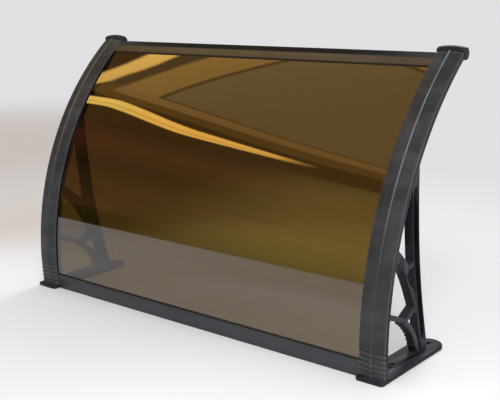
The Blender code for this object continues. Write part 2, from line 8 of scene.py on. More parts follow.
# %% Load the solid model
import bmesh
import bpy
from math import asin, cos, pi, radians, sin
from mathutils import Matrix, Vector


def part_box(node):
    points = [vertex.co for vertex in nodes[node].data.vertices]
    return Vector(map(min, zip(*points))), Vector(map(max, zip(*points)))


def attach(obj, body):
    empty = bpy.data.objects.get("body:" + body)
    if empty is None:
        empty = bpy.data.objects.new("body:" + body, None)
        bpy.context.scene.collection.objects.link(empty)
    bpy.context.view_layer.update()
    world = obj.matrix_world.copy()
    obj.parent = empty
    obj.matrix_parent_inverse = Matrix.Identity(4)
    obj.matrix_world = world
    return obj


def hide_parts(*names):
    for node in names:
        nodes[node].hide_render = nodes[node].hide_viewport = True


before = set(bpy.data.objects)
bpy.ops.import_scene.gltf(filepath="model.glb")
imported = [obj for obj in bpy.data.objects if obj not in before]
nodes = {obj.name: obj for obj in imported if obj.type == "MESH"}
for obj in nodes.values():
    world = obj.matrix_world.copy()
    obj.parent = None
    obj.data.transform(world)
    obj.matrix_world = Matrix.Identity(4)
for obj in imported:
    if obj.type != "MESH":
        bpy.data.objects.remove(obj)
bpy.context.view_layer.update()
print("pieces in the solid model:", len(nodes))

# %% [markdown]
# ## The camera
#
# The canopy was photographed from above its right corner, with a slightly long lens. A camera
# could be aimed at the object with a constraint, but a place, an angle and a small vertical shift
# say exactly what the lens did, and keep the upright lines as the photograph has them. The shift
# moves the object down in the frame, while the lens itself points below the object's middle.

# %% Place the camera
LENS_LENGTH = 65.14
LENS_SHIFT = 0.10
CAMERA_PLACE = (1.2939, -1.4777, 0.7172)
CAMERA_TURN = (73.69, 0.904, 39.376)
lens = bpy.data.cameras.new("photo_lens")
lens.sensor_width = 36.0
lens.lens = LENS_LENGTH
lens.shift_y = LENS_SHIFT
camera = bpy.data.objects.new("photo_camera", lens)
camera.location = CAMERA_PLACE
camera.rotation_euler = [radians(angle) for angle in CAMERA_TURN]
bpy.context.scene.collection.objects.link(camera)
bpy.context.scene.camera = camera
bpy.context.scene.view_settings.view_transform = "Standard"
print("camera at", tuple(round(v, 3) for v in camera.location))

# %% [markdown]
# ## Writing shader maths as plain expressions
#
# A node tree is easy to draw but slow to read. The class below wraps one output of a node, so that
# `grain * 0.2 + 0.4` adds the Math nodes for it. Every other node comes from one method that takes
# the node's type, its settings and its inputs.

# %% A wire that can be added and multiplied
class Wire:
    """One output socket of a shader tree, which takes part in Python expressions."""

    def __init__(self, tree, socket):
        self.tree = tree
        self.socket = socket

    def plug(self, socket, value):
        """Gives a socket a link or a plain value."""
        if isinstance(value, Wire):
            self.tree.links.new(value.socket, socket)
        else:
            socket.default_value = value

    def node(self, kind, settings, inputs, output=0):
        """One output of a new node, which gets its settings first and then its inputs."""
        made = self.tree.nodes.new("ShaderNode" + kind)
        for name, value in settings.items():
            if name == "stops":
                ramp = made.color_ramp
                while len(ramp.elements) < len(value):
                    ramp.elements.new(1.0)
                for element, (place, shade) in zip(ramp.elements, value):
                    element.position = place
                    element.color = (*shade, 1.0)
            else:
                setattr(made, name, value)
        for key, value in inputs.items():
            self.plug(made.inputs[key], value)
        return Wire(self.tree, made.outputs[output])

    def maths(self, operation, first, second):
        return self.node("Math", {"operation": operation}, {0: first, 1: second})

    def __add__(self, other):
        return self.maths("ADD", self, other)

    def __radd__(self, other):
        return self.maths("ADD", other, self)

    def __sub__(self, other):
        return self.maths("SUBTRACT", self, other)

    def __rsub__(self, other):
        return self.maths("SUBTRACT", other, self)

    def __mul__(self, other):
        return self.maths("MULTIPLY", self, other)

    def __rmul__(self, other):
        return self.maths("MULTIPLY", other, self)

    def __truediv__(self, other):
        return self.maths("DIVIDE", self, other)

    def __rtruediv__(self, other):
        return self.maths("DIVIDE", other, self)

    def between(self, low, high):
        """0 at low, 1 at high and a smooth change between them. Either may be the greater."""
        settings = {"interpolation_type": "SMOOTHSTEP"}
        inputs = {"Value": self, "From Min": low, "From Max": high}
        return self.node("MapRange", settings, inputs)

    def tint(self, dark, light):
        """The colour dark where this wire is 0, and light where it is 1. Both may be wires."""
        first, second = [c if isinstance(c, Wire) else (*c, 1.0) for c in (dark, light)]
        return self.node("Mix", {"data_type": "RGBA"}, {0: self, 6: first, 7: second}, 2)

    def blend(self, share, colour):
        """This colour wire, mixed by a share with another colour."""
        return share.tint(self, colour)

    def size(self):
        """This value without its sign."""
        return self.maths("ABSOLUTE", self, 0.0)

    def axis(self, name):
        """One coordinate of this place."""
        return self.node("SeparateXYZ", {}, {0: self}, name)

    def distance(self, spot):
        """How far this place lies from a spot."""
        return self.node("VectorMath", {"operation": "DISTANCE"}, {0: self, 1: spot}, "Value")

    def ray(self, kind):
        """1 for the kind of ray that is named, and 0 for the others."""
        return self.node("LightPath", {}, {}, f"Is {kind} Ray")

    def noise(self, scale, detail=3.0, stretch=(1.0, 1.0, 1.0)):
        """Soft random values at a scale per metre, on the piece's own coordinates."""
        where = self.node("Mapping", {}, {"Vector": self, "Scale": stretch})
        return self.node("TexNoise", {}, {"Vector": where, "Scale": scale, "Detail": detail})

    def bump(self, height, strength):
        """A normal that is tilted by a height in metres."""
        return self.node("Bump", {}, {"Height": self, "Distance": height, "Strength": strength})


print("wires are ready")

# %% [markdown]
# A finish starts from one Principled shader. Numbers that hold for the whole surface are set on
# its sockets, and only what varies is wired. `place` is where on the piece a point lies. Two of
# the materials need a second shader, and end in a Mix Shader.

# %% Start a finish
def finish_named(name, **constant):
    """A material with its Principled shader, and the wire of the piece's own coordinates."""
    made = bpy.data.materials.new(name)
    made.use_nodes = True
    tree = made.node_tree
    shader = tree.nodes["Principled BSDF"]
    for key, value in constant.items():
        shader.inputs[key.replace("_", " ")].default_value = value
    spot = tree.nodes.new("ShaderNodeTexCoord")
    return made, shader, Wire(tree, spot.outputs["Object"])


def end_in_two(made, share, first, second):
    """Ends a material in the first shader where share is 0, and in the second where it is 1."""
    tree = made.node_tree
    mix = tree.nodes.new("ShaderNodeMixShader")
    for socket, source in zip(mix.inputs, (share.socket, first.outputs[0], second.outputs[0])):
        tree.links.new(source, socket)
    tree.links.new(mix.outputs[0], tree.nodes["Material Output"].inputs["Surface"])


BLACK = (0.0, 0.0, 0.0)
finishes = {}
print("finishes so far:", len(finishes))

# %% [markdown]
# ## Moulded plastic
#
# The brackets, covers and caps are moulded in black and charcoal plastic. The tool's spark-eroded
# surface leaves a fine grain, and the flow of the melt leaves soft cloudy patches in the sheen.
# The convex edges are lighter, partly from wear and partly as a painted highlight, and the upper
# part of each cover's ridge carries a painted highlight line. An image could hold the grain, but
# noise at two scales works at any distance and needs no unwrapping.

# %% Make the plastics
GRAIN_SCALE = 1400.0
# The heights where the painted highlight on each cover's rib fades in, and that highlight's place
# across, half width and colour.
RIDGE_HIGHLIGHT_HEIGHTS = (0.16, 0.46)
COVER_RIDGE_HIGHLIGHT = (0.4722, 0.0017, (0.20, 0.215, 0.225))


def moulded(name, dark, light, sheen, edge, shine, ridge=None):
    """A moulded plastic. ridge gives a painted rib highlight's place across, half width and
    colour.
    """
    made, shader, place = finish_named(name, Specular_IOR_Level=shine)
    grain = place.noise(GRAIN_SCALE, 2.0)
    cloud = place.noise(16.0, 4.0)
    streak = place.noise(9.0, 3.0, (1.0, 1.0, 7.0))
    worn = place.node("NewGeometry", {}, {}, "Pointiness").between(0.508, 0.56)
    shade = (cloud * 0.6 + streak * 0.4).between(0.32, 0.68)
    body = shade.tint(dark, light)
    # Convex edges are lighter: partly wear, partly a painted highlight.
    colour = body.blend(worn * 0.55, edge)
    # A painted highlight along the cover's rib, strongest high on the cover and broken up by
    # noise.
    if ridge:
        middle, half, highlight_colour = ridge
        away = (place.axis("X").size() - middle).size()
        rub = place.noise(30.0, 3.0).between(0.2, 0.6) * 0.35 + 0.55
        high = place.axis("Z").between(*RIDGE_HIGHLIGHT_HEIGHTS)
        colour = colour.blend(away.between(half, 0.3 * half) * rub * high, highlight_colour)
    rough = sheen + (cloud - 0.5) * 0.22 + (grain - 0.5) * 0.10 - worn * 0.10
    place.plug(shader.inputs["Base Color"], colour)
    place.plug(shader.inputs["Roughness"], rough)
    place.plug(shader.inputs["Normal"], (grain + cloud * 0.3).bump(0.00006, 0.55))
    finishes[name] = made


# Each edge colour is partly wear and partly a painted highlight.
moulded(
    "bracket_black", (0.0035, 0.005, 0.007), (0.008, 0.010, 0.013),
    sheen=0.50, edge=(0.050, 0.056, 0.064), shine=0.12,
)
moulded(
    "cover_charcoal", (0.023, 0.024, 0.027), (0.048, 0.049, 0.055),
    sheen=0.46, edge=(0.095, 0.100, 0.108), shine=0.22, ridge=COVER_RIDGE_HIGHLIGHT,
)
moulded(
    "cap_charcoal", (0.010, 0.011, 0.012), (0.020, 0.021, 0.023),
    sheen=0.42, edge=(0.060, 0.062, 0.066), shine=0.15,
)
print("finishes so far:", sorted(finishes))

# %% [markdown]
# ## Clear bronze sheet
#
# The roof is solid polycarbonate with a thin clear weather coat. It lets a brown light through and
# mirrors the room at a glance. A faint waviness comes from the rollers, and hard light shows a
# few fine wipe marks. Lamps have to shine through it, so a shadow ray meets a tinted see-through
# shader in its place.

# %% Make the bronze sheet
BRONZE = (0.070, 0.034, 0.008)
BRONZE_SHADOW = (0.34, 0.24, 0.13, 1.0)
SHEET_IOR = 1.585
made, shader, place = finish_named(
    "bronze_clear", Transmission_Weight=1.0, IOR=SHEET_IOR, Coat_Weight=1.0, Coat_Roughness=0.01
)
wave = place.noise(2.4, 1.0, (0.5, 1.0, 1.0))
wipe = place.noise(60.0, 4.0, (0.15, 1.0, 1.0))
depth = place.noise(3.0, 2.0)
tone = depth.tint([0.94 * c for c in BRONZE], [1.06 * c for c in BRONZE])
place.plug(shader.inputs["Base Color"], tone)
place.plug(shader.inputs["Roughness"], wipe.between(0.60, 0.80) * 0.05 + 0.012)
place.plug(shader.inputs["Normal"], wave.bump(0.0006, 0.5))
through = made.node_tree.nodes.new("ShaderNodeBsdfTransparent")
through.inputs["Color"].default_value = BRONZE_SHADOW
end_in_two(made, place.ray("Shadow"), shader, through)
finishes["bronze_clear"] = made
print("finishes so far:", sorted(finishes))

# %% [markdown]
# ## Coated aluminium, rubber and zinc
#
# The two profiles are extruded, so faint die lines run along their whole length under a satin
# coat, grey at the wall and bronze at the front. Noise that is stretched along X gives those
# lines. Rubber is matt and dusty, and the zinc-plated screws are bright with an uneven sheen.

# %% Make the profile finishes
ALONG_X = (0.004, 1.0, 1.0)


def extruded(name, dark, light, metal, sheen):
    """Coated metal with die lines along X."""
    made, shader, place = finish_named(name, Specular_IOR_Level=0.5)
    lines = place.noise(700.0, 2.0, ALONG_X)
    cloud = place.noise(11.0, 3.0)
    peel = place.noise(420.0, 2.0)
    worn = place.node("NewGeometry", {}, {}, "Pointiness").between(0.51, 0.57)
    shade = (lines * 0.5 + cloud * 0.5).between(0.3, 0.7)
    rough = sheen + (lines - 0.5) * 0.16 + (cloud - 0.5) * 0.12
    place.plug(shader.inputs["Base Color"], shade.tint(dark, light))
    place.plug(shader.inputs["Metallic"], metal + worn * 0.3)
    place.plug(shader.inputs["Roughness"], rough)
    place.plug(shader.inputs["Normal"], (lines + peel * 0.4).bump(0.00003, 0.5))
    finishes[name] = made


extruded("wall_grey_coat", (0.036, 0.039, 0.046), (0.056, 0.060, 0.068), 0.30, 0.42)
extruded("front_bronze_coat", (0.070, 0.052, 0.032), (0.100, 0.078, 0.050), 0.10, 0.42)
print("finishes so far:", sorted(finishes))

# %% Make the rubber and the zinc
made, shader, place = finish_named("black_rubber", Specular_IOR_Level=0.35)
dust = place.noise(220.0, 4.0)
tone = dust.between(0.45, 0.75).tint((0.009, 0.009, 0.010), (0.022, 0.021, 0.020))
place.plug(shader.inputs["Base Color"], tone)
place.plug(shader.inputs["Roughness"], dust * 0.25 + 0.62)
place.plug(shader.inputs["Normal"], dust.bump(0.00005, 0.6))
finishes["black_rubber"] = made

made, shader, place = finish_named("zinc_plate")
patch = place.noise(500.0, 3.0)
turned = place.noise(3000.0, 1.0)
tone = patch.between(0.3, 0.7).tint((0.46, 0.47, 0.49), (0.62, 0.62, 0.63))
place.plug(shader.inputs["Base Color"], tone)
place.plug(shader.inputs["Metallic"], 0.96 + patch * 0.04)
place.plug(shader.inputs["Roughness"], 0.24 + patch * 0.18)
place.plug(shader.inputs["Normal"], turned.bump(0.00002, 0.4))
finishes["zinc_plate"] = made
print("finishes so far:", sorted(finishes))

# %% [markdown]
# ## The roof's arc
#
# Every long piece follows the same arc. The easy way to model such a piece is to draw it
# straight, with x across, y along the arc and z outwards, and to bend it afterwards. The values
# below are the arc's: its radius, how far it leans from upright at its foot, and how far it runs.
# The bracket's own box says how far the canopy was moved to stand centred on its origin.

# %% Name the arc's values
ARC_RADIUS = 0.672
ARC_LEAN = radians(-5.15)
ARC_LENGTH = 0.669
PLATE_FRONT = -0.015
ARC_Y = ARC_RADIUS * cos(ARC_LEAN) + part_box("bracket_right")[0].y - PLATE_FRONT
ARC_Z = -ARC_RADIUS * sin(ARC_LEAN)
SHEET_TOP = 0.0039
SHEET_THICKNESS = 0.0030
ARM_X = 0.471
print("the arc's centre is at y", round(ARC_Y, 4), "and z", round(ARC_Z, 4))

# %% [markdown]
# Geometry Nodes do the bending. The tree turns each point's y into an angle on the arc and its z
# into a radius. Its inputs are the arc's sizes and the finish, and it is built once and used for
# every strip. It ends in Realize Instances and Set Material, so that the result is one plain mesh.

# %% Helpers for Geometry Nodes
def new_tree(name, inputs):
    """An empty Geometry Nodes tree with a mesh in, a mesh out and named inputs."""
    tree = bpy.data.node_groups.new(name, "GeometryNodeTree")
    tree.interface.new_socket("Mesh", in_out="INPUT", socket_type="NodeSocketGeometry")
    for label, kind in inputs:
        tree.interface.new_socket(label, in_out="INPUT", socket_type="NodeSocket" + kind)
    tree.interface.new_socket("Mesh", in_out="OUTPUT", socket_type="NodeSocketGeometry")
    start = tree.nodes.new("NodeGroupInput")
    return tree, start


def add(tree, kind, settings=None, **links):
    """A node with its settings. Each input is named, or numbered as in i0, and gets its value."""
    made = tree.nodes.new(kind)
    for name, value in (settings or {}).items():
        setattr(made, name, value)
    for key, value in links.items():
        place = int(key[1:]) if key[1:].isdigit() else key.replace("_", " ")
        socket = made.inputs[place]
        if isinstance(value, bpy.types.NodeSocket):
            tree.links.new(value, socket)
        else:
            socket.default_value = value
    return made


def sums(tree, operation, first, second=0.0):
    """The result of one Math node."""
    return add(tree, "ShaderNodeMath", {"operation": operation}, i0=first, i1=second).outputs[0]


def bent(tree, mesh, start):
    """The nodes that lay a straight mesh on the arc."""
    where = add(tree, "GeometryNodeInputPosition").outputs[0]
    point = add(tree, "ShaderNodeSeparateXYZ", None, Vector=where)
    turn = sums(tree, "DIVIDE", point.outputs["Y"], start.outputs["Arc Radius"])
    angle = sums(tree, "ADD", turn, start.outputs["Arc Lean"])
    radius = sums(tree, "ADD", point.outputs["Z"], start.outputs["Arc Radius"])
    side = sums(tree, "MULTIPLY", radius, sums(tree, "COSINE", angle))
    rise = sums(tree, "MULTIPLY", radius, sums(tree, "SINE", angle))
    place = add(
        tree, "ShaderNodeCombineXYZ", None, X=point.outputs["X"],
        Y=sums(tree, "SUBTRACT", start.outputs["Centre Y"], side),
        Z=sums(tree, "ADD", start.outputs["Centre Z"], rise),
    )
    moved = add(tree, "GeometryNodeSetPosition", None, Geometry=mesh, Position=place.outputs[0])
    plain = add(tree, "GeometryNodeRealizeInstances", None, Geometry=moved.outputs[0])
    finish = start.outputs["Finish"]
    ended = add(tree, "GeometryNodeSetMaterial", None, Geometry=plain.outputs[0], Material=finish)
    end = tree.nodes.new("NodeGroupOutput")
    tree.links.new(ended.outputs[0], end.inputs[0])


ARC_INPUTS = [
    ("Arc Radius", "Float"), ("Arc Lean", "Float"), ("Centre Y", "Float"), ("Centre Z", "Float"),
    ("Finish", "Material"),
]
bend_tree, bend_start = new_tree("bend_along_roof", ARC_INPUTS)
bent(bend_tree, bend_start.outputs["Mesh"], bend_start)
print("nodes in the bending tree:", len(bend_tree.nodes))

# %% [markdown]
# A modifier's inputs are set by each socket's identifier. The evaluated result then becomes a
# plain mesh of its own, the modifiers go, and the finished piece rides on the canopy's one body.

# %% Turn a modifier's result into a finished piece
SHARP = radians(32)


def settle(piece, slot, *stands_for):
    """Applies every modifier of a piece, shades it and hands it to the frame."""
    bpy.context.view_layer.update()
    graph = bpy.context.evaluated_depsgraph_get()
    mesh = bpy.data.meshes.new_from_object(piece.evaluated_get(graph))
    piece.modifiers.clear()
    piece.data = mesh
    mesh.shade_smooth()
    mesh.set_sharp_from_angle(angle=SHARP)
    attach(piece, "root")
    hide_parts(*stands_for)
    print(piece.name, "has", len(mesh.polygons), "faces")


def run_tree(piece, tree, finish, **values):
    """Adds a Geometry Nodes modifier with the arc's sizes and a finish."""
    values.update(Arc_Radius=ARC_RADIUS, Arc_Lean=ARC_LEAN, Centre_Y=ARC_Y, Centre_Z=ARC_Z)
    values["Finish"] = finishes[finish]
    step = piece.modifiers.new(tree.name, "NODES")
    step.node_group = tree
    for item in tree.interface.items_tree:
        key = item.name.replace(" ", "_")
        if item.in_out == "INPUT" and key in values:
            step[item.identifier] = values[key]


def soften(piece, width, segments):
    """Rounds the sharp edges."""
    step = piece.modifiers.new("soft_edges", "BEVEL")
    step.width = width
    step.segments = segments
    step.limit_method = "ANGLE"
    step.angle_limit = SHARP


print("pieces can be settled")

# %% [markdown]
# A strip is drawn as a ring of points for each station along it, joined by a skin. Each ring may
# differ from the next, so the same helper makes a plain seal, a sheet, or a cover with grooves.

# %% Loft rings into a closed skin
def loft(name, rings):
    """A closed mesh through rings that all have the same number of points."""
    bm = bmesh.new()
    loops = [[bm.verts.new(p) for p in ring] for ring in rings]
    for here, there in zip(loops, loops[1:]):
        for i in range(len(here)):
            j = (i + 1) % len(here)
            bm.faces.new((here[i], here[j], there[j], there[i]))
    bm.faces.new(loops[0][::-1])
    bm.faces.new(loops[-1])
    bmesh.ops.recalc_face_normals(bm, faces=bm.faces)
    mesh = bpy.data.meshes.new(name)
    bm.to_mesh(mesh)
    bm.free()
    made = bpy.data.objects.new(name, mesh)
    bpy.context.scene.collection.objects.link(made)
    return made


def reach_at(height, depth=0.0):
    """How far along the arc a height is passed, at a depth below the covers' outer edge."""
    return ARC_RADIUS * (asin((height - ARC_Z) / (ARC_RADIUS - depth)) - ARC_LEAN)


def even_stations(first, last, pitch):
    """Places from first to last, about a pitch apart."""
    count = max(2, round((last - first) / pitch))
    return [first + (last - first) * i / count for i in range(count + 1)]


print("the arc passes 0.3 m at reach", round(reach_at(0.3), 4))

# %% [markdown]
# ## The clear roof sheet
#
# The sheet is 3 mm thick and runs between the arms from the foot of the wall profile to the front
# profile. It is drawn straight, in short steps along its length, so that the reflections glide
# over it without facets. Its edges are broken as a saw and scraper leave them. Then it is bent.

# %% Make the roof sheet
SHEET_FOOT = 0.0085
SHEET_STEP = 0.004
SHEET_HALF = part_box("roof_sheet")[1].x
SHEET_FIRST = reach_at(SHEET_FOOT)
SHEET_LAST = reach_at(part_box("roof_sheet")[1].z, SHEET_TOP)
low = -SHEET_TOP - SHEET_THICKNESS
edge = 0.0004
section = [
    (-SHEET_HALF + edge, -SHEET_TOP), (SHEET_HALF - edge, -SHEET_TOP),
    (SHEET_HALF, -SHEET_TOP - edge), (SHEET_HALF, low + edge),
    (SHEET_HALF - edge, low), (-SHEET_HALF + edge, low),
    (-SHEET_HALF, low + edge), (-SHEET_HALF, -SHEET_TOP - edge),
]
stations = even_stations(SHEET_FIRST, SHEET_LAST, SHEET_STEP)
sheet = loft("clear_roof", [[(x, y, z) for x, z in section] for y in stations])
run_tree(sheet, bend_tree, "bronze_clear")
settle(sheet, "bronze_sheet", "roof_sheet")

# %% [markdown]
# ## The clamp covers
#
# Each cover is a shallow roof across its width with a raised rib down its middle, and a few
# shallow grooves cross it near the wall, where the rain runs off. The section below is traced
# from edge to edge and lowered inside each groove, with a soft rise and fall. The first ring is
# cut level, because the cover stands on its wall plate.

# %% Describe the cover's section
COVER_HALF = 0.029
COVER_RISE = 0.0034
COVER_TOE = 0.0008
COVER_LOWEST = 0.0023
SLOPE_STEPS = 9
RIDGE_HALF = 0.0036
RIDGE_HEIGHT = 0.0013
RIDGE_SHOULDER = 0.35


def mirrored(points):
    """The same points on the other side of the middle, in the opposite order."""
    return [(-x, d) for x, d in reversed(points)]


def cover_ring(reach, drop, notch=0.0):
    """The cover's outline at one station, lowered by drop and narrowed by notch."""
    left = [(-COVER_HALF, 0.0013), (-COVER_HALF + 0.0002, 0.0006)]
    left.append((-COVER_HALF + COVER_TOE, 0.0001))
    slope = COVER_HALF - COVER_TOE - RIDGE_HALF
    for i in range(1, SLOPE_STEPS):
        share = i / SLOPE_STEPS
        rise = COVER_RISE * (share + 0.10 * sin(pi * share))
        left.append((-COVER_HALF + COVER_TOE + slope * share, -rise))
    left.append((-RIDGE_HALF - 0.0004, -COVER_RISE + 0.0002))
    left.append((-RIDGE_HALF, -COVER_RISE - 0.0002))
    ridge = []
    for i in range(1, 6):
        a = radians(180 - 30 * i)
        height = RIDGE_HEIGHT * (RIDGE_SHOULDER + (1 - RIDGE_SHOULDER) * sin(a))
        ridge.append((RIDGE_HALF * cos(a) * 0.96, -COVER_RISE - height))
    under = [(COVER_HALF, 0.0025), (0.0240, 0.0025), (0.0045, -0.0009)]
    outer = left + ridge + mirrored(left)
    ring = [(x, min(d + drop, COVER_LOWEST)) for x, d in outer] + under + mirrored(under)
    return [(ARM_X + x * (1 - notch / COVER_HALF), reach, -d) for x, d in ring]


print("points round the cover:", len(cover_ring(0.1, 0.0)))

# %% Make the two covers
COVER_FOOT = 0.0083
COVER_STEP = 0.007
GROOVES = 5
GROOVE_START = 0.0075
GROOVE_PITCH = 0.0104
GROOVE_WIDTH = 0.0042
GROOVE_DEPTH = 0.0011
GROOVE_NOTCH = 0.0018
GROOVE_STEPS = 8
cover_first = reach_at(COVER_FOOT)
rings = [[(x, reach_at(COVER_FOOT, -z), z) for x, y, z in cover_ring(0.0, 0.0)]]
rings.append(cover_ring(cover_first + GROOVE_START * 0.6, 0.0))
for i in range(GROOVES):
    for k in range(GROOVE_STEPS + 1):
        along = cover_first + GROOVE_START + GROOVE_PITCH * i + GROOVE_WIDTH * k / GROOVE_STEPS
        sunk = 0.5 * (1 - cos(2 * pi * k / GROOVE_STEPS))
        rings.append(cover_ring(along, GROOVE_DEPTH * sunk, GROOVE_NOTCH * sunk))
last = rings[-1][0][1]
rings += [cover_ring(y, 0.0) for y in even_stations(last + 0.002, ARC_LENGTH, COVER_STEP)]
for sign, side in ((1, "right"), (-1, "left")):
    cover = loft("clamp_cover_" + side, [[(sign * x, y, z) for x, y, z in ring] for ring in rings])
    run_tree(cover, bend_tree, "cover_charcoal")
    settle(cover, "cover_plastic", "cover_" + side)

# %% [markdown]
# ## Seals and gaskets
#
# Thin rubber strips lie over and under the sheet's edges, and a black gasket closes each slot
# between the sheet and a profile. The strips have two shallow channels along them, as extruded
# rubber has, and the gaskets have a rounded back.

# %% Make the rubber strips
STRIP_WIDTH = 0.009
STRIP_HEIGHT = 0.0008
STRIP_STEP = 0.012
CHANNEL_POINTS = (2, 3, 6, 7)
CHANNEL_DEPTH = 0.00018
UPPER_SEAL = {"inner": 0.443, "top": 0.0028, "first": reach_at(0.008) + 0.002, "last": 0.661}
LOWER_SEAL = {"inner": 0.447, "top": 0.0072, "first": 0.0381, "last": 0.6292}


def strip(name, node, sign, inner, top, first, last):
    """A strip with two channels on the arc, in the place of one solid."""
    profile = []
    for i in range(10):
        dip = CHANNEL_DEPTH if i in CHANNEL_POINTS else 0.0
        profile.append((inner + STRIP_WIDTH * i / 9, top + dip))
    profile += [(inner + STRIP_WIDTH, top + STRIP_HEIGHT), (inner, top + STRIP_HEIGHT)]
    stations = even_stations(first, last, STRIP_STEP)
    made = loft(name, [[(sign * x, y, -d) for x, d in profile] for y in stations])
    run_tree(made, bend_tree, "black_rubber")
    settle(made, "seal_rubber", node)


for sign, side in ((1, "right"), (-1, "left")):
    strip("outer_seal_" + side, "seal_upper_" + side, sign, **UPPER_SEAL)
    strip("inner_seal_" + side, "seal_lower_" + side, sign, **LOWER_SEAL)

# %% Make the two gaskets
BEAD_WIDTH = 0.0026
BEAD_TOP = 0.0022
BEAD_UNDER = 0.0036
BEAD_CROWN = 0.0004
CROSS_STEP = 0.12


def across_roof(name, outline, half):
    """An outline of reach and depth, repeated across the roof."""
    stations = even_stations(-half, half, CROSS_STEP)
    return loft(name, [[(x, y, -d) for y, d in outline] for x in stations])


def gasket(name, node, first):
    """A rounded bead of rubber across the roof."""
    outline = [(first + BEAD_WIDTH, BEAD_UNDER), (first, BEAD_UNDER)]
    for i in range(9):
        a = pi * i / 8
        along = first + BEAD_WIDTH / 2 - cos(a) * BEAD_WIDTH / 2
        outline.append((along, BEAD_TOP + BEAD_CROWN * (1 - sin(a))))
    made = across_roof(name, outline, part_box(node)[1].x)
    run_tree(made, bend_tree, "black_rubber")
    settle(made, "gasket_rubber", node)


gasket("wall_bead", "wall_gasket", first=0.0358)
gasket("front_bead", "front_gasket", first=0.6309)

# %% [markdown]
# ## Moulded and extruded pieces
#
# The brackets, caps and profiles already have their true shapes in the solid model, but its edges
# are razor sharp. A copy of each mesh is joined up, its flat areas are merged, and a small bevel
# gives every edge the radius that a mould or a die leaves. The bevel catches a thin line of light,
# which is what makes the lattice readable.

# %% Soften copies of the solids
SAME_PLACE = 0.000002
SAME_PLANE = radians(0.6)
BRACKET_EDGE = 0.0007
CAP_EDGE = 0.0012
RAIL_EDGE = 0.0004


def softened(name, node, finish, slot, width, segments=2):
    """A copy of one solid with its faces joined and its edges rounded."""
    bm = bmesh.new()
    bm.from_mesh(nodes[node].data)
    bmesh.ops.remove_doubles(bm, verts=bm.verts, dist=SAME_PLACE)
    bmesh.ops.dissolve_limit(bm, angle_limit=SAME_PLANE, verts=bm.verts, edges=bm.edges)
    bmesh.ops.recalc_face_normals(bm, faces=bm.faces)
    mesh = bpy.data.meshes.new(name)
    bm.to_mesh(mesh)
    bm.free()
    mesh.materials.clear()
    mesh.materials.append(finishes[finish])
    made = bpy.data.objects.new(name, mesh)
    bpy.context.scene.collection.objects.link(made)
    soften(made, width, segments)
    settle(made, slot, node)


for side in ("right", "left"):
    bracket = "bracket_" + side
    softened("moulded_" + bracket, bracket, "bracket_black", "bracket_plastic", BRACKET_EDGE)
    softened("arm_cap_" + side, "cap_" + side, "cap_charcoal", "cap_plastic", CAP_EDGE, 3)
softened("wall_rail", "wall_profile", "wall_grey_coat", "wall_aluminium", RAIL_EDGE)
softened("front_rail", "front_profile", "front_bronze_coat", "front_aluminium", RAIL_EDGE)

# %% [markdown]
# The outer half of the front rail is covered by a black half-round lip, off which the rain drips.
# It is drawn like the gaskets: one outline, repeated across the roof, and bent with it.

# %% Make the drip lip
LIP_WIDTH = 0.0150
LIP_RISE = 0.0011
LIP_FULLNESS = 0.6
RAIL_TOP = 0.0016
outline = [(0.0, RAIL_TOP + 0.0006), (0.0, RAIL_TOP - 0.0002)]
for i in range(1, 10):
    a = pi * i / 10
    outline.append(((1 - cos(a)) / 2 * LIP_WIDTH, RAIL_TOP - LIP_RISE * sin(a) ** LIP_FULLNESS))
outline += [(LIP_WIDTH, RAIL_TOP - 0.0002), (LIP_WIDTH, RAIL_TOP + 0.0006)]
outline = [(ARC_LENGTH - LIP_WIDTH + along, d) for along, d in outline]
lip = across_roof("drip_lip", outline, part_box("front_profile")[1].x)
run_tree(lip, bend_tree, "bracket_black")
settle(lip, "gasket_rubber")

# %% [markdown]
# ## Screws
#
# Each cover is pulled to its arm by a row of pan-head screws from below, and two more at each side
# hold the profiles. One screw is modelled with a domed head and a cross recess, and a Geometry
# Nodes tree puts a copy on every point of a row, drawn straight and then bent with the roof.

# %% Model one screw
SCREW_SIDES = 24
SHANK_RADIUS = 0.0020
THREAD_ROOT = 0.0017
THREAD_TURNS = 9
THREAD_FIRST = 0.0030
THREAD_SHORTER = 0.0050
TIP_OUTLINE = ((0.0018, -0.0016), (0.0010, 0.0))
HEAD_OUTLINE = [
    (0.0004, 0.0), (0.0016, 0.00002), (0.0026, 0.0002), (0.0034, 0.0006),
    (0.0039, 0.0013), (0.0040, 0.0020), (0.0039, 0.0026), (SHANK_RADIUS, 0.0026),
]
RECESS_LONG = 0.0019
RECESS_NARROW = 0.00045
RECESS_HEIGHT = 0.0024


def circle(radius, z, sides):
    """A level ring of points."""
    turns = [2 * pi * k / sides for k in range(sides)]
    return [(radius * cos(a), radius * sin(a), z) for a in turns]


